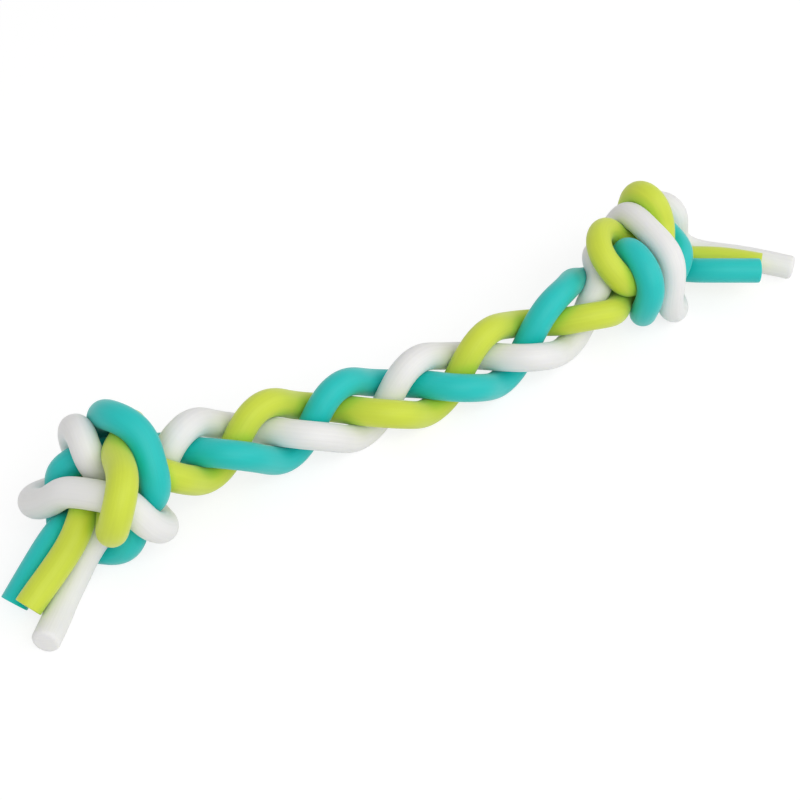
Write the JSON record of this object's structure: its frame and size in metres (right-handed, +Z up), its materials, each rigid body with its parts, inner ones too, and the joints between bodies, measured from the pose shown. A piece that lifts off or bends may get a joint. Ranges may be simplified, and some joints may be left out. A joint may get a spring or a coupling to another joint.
{
  "type": "braided rubber dog toy",
  "caption": "Dog toy for chewing and tugging: round rubber strands in white, lime and teal, plaited flat and pulled into a knot at each end, with square-cut free tails.",
  "frame": {"origin": "on the ground, under the middle of the toy's box", "axes": "+X along the plait from the left knot to the right knot, +Z up from the ground it lies on"},
  "size_m": [0.3502, 0.0954, 0.0531],
  "materials": {
    "white_rubber": "satin off-white rubber",
    "lime_rubber": "satin lime green rubber",
    "teal_rubber": "satin teal rubber"
  },
  "bodies": {
    "root": {"white_strand": "white_rubber", "lime_strand": "lime_rubber", "teal_strand": "teal_rubber"}
  },
  "joints": []
}
